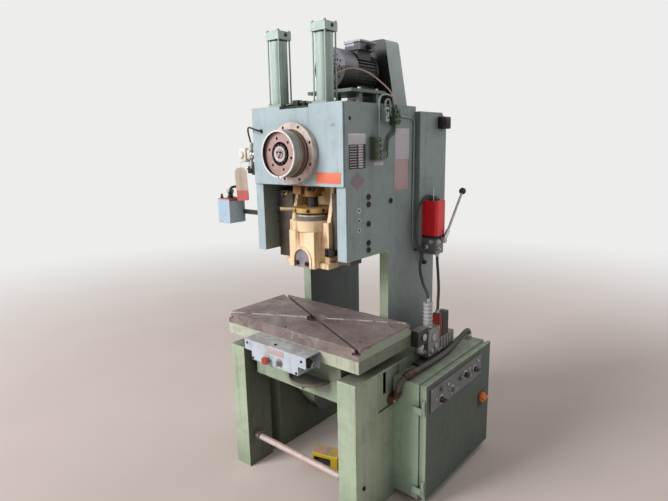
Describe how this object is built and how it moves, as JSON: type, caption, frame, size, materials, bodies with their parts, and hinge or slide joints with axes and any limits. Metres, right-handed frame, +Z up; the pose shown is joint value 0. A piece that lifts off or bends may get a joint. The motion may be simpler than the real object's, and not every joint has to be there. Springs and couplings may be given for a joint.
{
  "type": "mechanical stamping press",
  "caption": "Open-back C-frame stamping press: front-to-back crankshaft, ram in gibs, balance cylinders, belt-driven rear flywheel, slotted bolster, two-hand console, cabinet and foot switch.",
  "frame": {"origin": "on the floor at the centre of the four anchor holes in the base frames", "axes": "+Z up, -Y towards the front where the operator stands, +X to the operator's right"},
  "size_m": [1.058, 1.032, 2.086],
  "materials": {
    "frame_paint": "aged satin paint",
    "head_paint": "aged satin paint",
    "base_paint": "aged satin paint",
    "ram_paint": "rust-stained paint",
    "console_paint": "aged satin paint",
    "red_paint": "gloss paint",
    "yellow_paint": "worn paint",
    "grey_paint": "satin paint",
    "dark_paint": "oily paint",
    "rusty_steel": "worn and rust-stained",
    "guide_iron": "oily",
    "bright_steel": "machined",
    "dark_steel": "oiled",
    "bronze": "tarnished",
    "black_plastic": "moulded",
    "white_plastic": "moulded",
    "red_plastic": "moulded",
    "orange_plastic": "moulded",
    "rubber": "matt"
  },
  "bodies": {
    "frame": {"frame_side_left": "frame_paint", "frame_side_right": "frame_paint", "head_top_plate": "frame_paint", "front_cover": "head_paint", "crank_flange": "bright_steel", "rear_bearing_plate": "frame_paint", "lower_arm": "base_paint", "table_casting": "base_paint", "bolster": "rusty_steel", "base_left": "base_paint", "base_right": "base_paint", "foot_bar": "rusty_steel", "round_shelf": "base_paint", "gib_left": "guide_iron", "gib_right": "guide_iron", "motor_stand": "frame_paint", "motor_body": "dark_paint", "motor_cowl": "grey_paint", "motor_terminal_box": "bright_steel", "drive_belts": "rubber", "flywheel_housing": "frame_paint", "belt_guard": "frame_paint", "balance_barrels": "base_paint", "balance_heads": "base_paint", "balance_tie_rods": "bright_steel", "electrical_cabinet": "base_paint", "contactor_panel": "grey_paint", "console": "console_paint", "foot_switch": "yellow_paint", "oil_pump": "red_paint", "air_valve_unit": "grey_paint", "air_lines": "rubber", "side_fittings": "grey_paint"},
    "crankshaft": {"crankshaft": "bright_steel", "stroke_drum": "bright_steel", "crank_nut": "bright_steel"},
    "ram": {"ram": "ram_paint", "shank_clamp": "bright_steel", "clamp_bolts": "dark_steel", "ball_cup": "bright_steel", "balance_rods": "bright_steel"},
    "connecting_rod": {"connecting_rod": "guide_iron", "adjusting_screw": "dark_steel"},
    "lock_ring": {"lock_ring": "bronze", "tommy_bar": "bright_steel"},
    "flywheel": {"flywheel": "dark_paint"},
    "motor_rotor": {"motor_pulley": "dark_steel", "motor_fan": "black_plastic"},
    "cabinet_door": {"cabinet_door": "frame_paint"},
    "main_switch": {"main_switch": "orange_plastic"},
    "start_button": {"start_button": "white_plastic"},
    "stop_button": {"stop_button": "black_plastic"},
    "mode_selector": {"mode_selector": "black_plastic"},
    "motor_selector": {"motor_selector": "black_plastic"},
    "emergency_button": {"emergency_button": "red_plastic"},
    "console_selector": {"console_selector": "black_plastic"},
    "palm_button_left": {"palm_button_left": "black_plastic"},
    "palm_button_right": {"palm_button_right": "black_plastic"},
    "foot_pedal": {"foot_pedal": "dark_paint"},
    "pump_lever": {"pump_lever": "dark_steel"}
  },
  "joints": [
    {"name": "crank_turn", "type": "hinge", "parent": "frame", "child": "crankshaft", "pos_m": [0, 0, 1.565], "axis": [0, 1, 0], "continuous": true},
    {"name": "ram_slide", "type": "slide", "parent": "frame", "child": "ram", "axis": [0, 0, -1], "range_m": [0, 0.03]},
    {"name": "rod_swing", "type": "hinge", "parent": "ram", "child": "connecting_rod", "pos_m": [0, -0.209, 1.293], "axis": [0, 1, 0], "range_deg": [-3, 3]},
    {"name": "lock_ring_turn", "type": "hinge", "parent": "connecting_rod", "child": "lock_ring", "pos_m": [0, -0.209, 1.32], "axis": [0, 0, 1], "range_deg": [-10, 60]},
    {"name": "flywheel_spin", "type": "hinge", "parent": "frame", "child": "flywheel", "pos_m": [0, 0, 1.565], "axis": [0, 1, 0], "continuous": true},
    {"name": "motor_spin", "type": "hinge", "parent": "frame", "child": "motor_rotor", "pos_m": [0, 0, 1.934], "axis": [0, 1, 0], "continuous": true},
    {"name": "door_swing", "type": "hinge", "parent": "frame", "child": "cabinet_door", "pos_m": [0.548, -0.145, 0.3105], "axis": [0, 0, -1], "range_deg": [0, 110]},
    {"name": "main_switch_turn", "type": "hinge", "parent": "cabinet_door", "child": "main_switch", "pos_m": [0.57, 0.424, 0.314], "axis": [1, 0, 0], "range_deg": [0, 90]},
    {"name": "start_press", "type": "slide", "parent": "cabinet_door", "child": "start_button", "axis": [-1, 0, 0], "range_m": [0, 0.005], "stiffness_N_per_m": 400, "springref_m": -0.004},
    {"name": "stop_press", "type": "slide", "parent": "cabinet_door", "child": "stop_button", "axis": [-1, 0, 0], "range_m": [0, 0.005], "stiffness_N_per_m": 400, "springref_m": -0.004},
    {"name": "mode_turn", "type": "hinge", "parent": "cabinet_door", "child": "mode_selector", "pos_m": [0.562, -0.019, 0.485], "axis": [1, 0, 0], "range_deg": [-45, 45]},
    {"name": "motor_mode_turn", "type": "hinge", "parent": "cabinet_door", "child": "motor_selector", "pos_m": [0.562, 0.319, 0.507], "axis": [1, 0, 0], "range_deg": [-45, 45]},
    {"name": "emergency_press", "type": "slide", "parent": "frame", "child": "emergency_button", "axis": [0, 1, 0], "range_m": [0, 0.006], "stiffness_N_per_m": 400, "springref_m": -0.004},
    {"name": "console_selector_turn", "type": "hinge", "parent": "frame", "child": "console_selector", "pos_m": [0.042, -0.495, 0.685], "axis": [0, 1, 0], "range_deg": [-45, 45]},
    {"name": "palm_left_press", "type": "slide", "parent": "frame", "child": "palm_button_left", "axis": [1, 0, 0], "range_m": [0, 0.006], "stiffness_N_per_m": 400, "springref_m": -0.004},
    {"name": "palm_right_press", "type": "slide", "parent": "frame", "child": "palm_button_right", "axis": [-1, 0, 0], "range_m": [0, 0.006], "stiffness_N_per_m": 400, "springref_m": -0.004},
    {"name": "pedal_press", "type": "hinge", "parent": "frame", "child": "foot_pedal", "pos_m": [-0.01933, -0.13573, 0.02], "axis": [0.9659, 0.2588, 0], "range_deg": [0, 6], "stiffness_Nm_per_rad": 20, "springref_deg": -5.73},
    {"name": "pump_lever_swing", "type": "hinge", "parent": "frame", "child": "pump_lever", "pos_m": [0.383, 0.315, 1.13], "axis": [1, 0, 0], "range_deg": [-40, 30]}
  ],
  "couplings": [
    {"joint": "motor_spin", "follows": "flywheel_spin", "ratio": 4.3333}
  ]
}
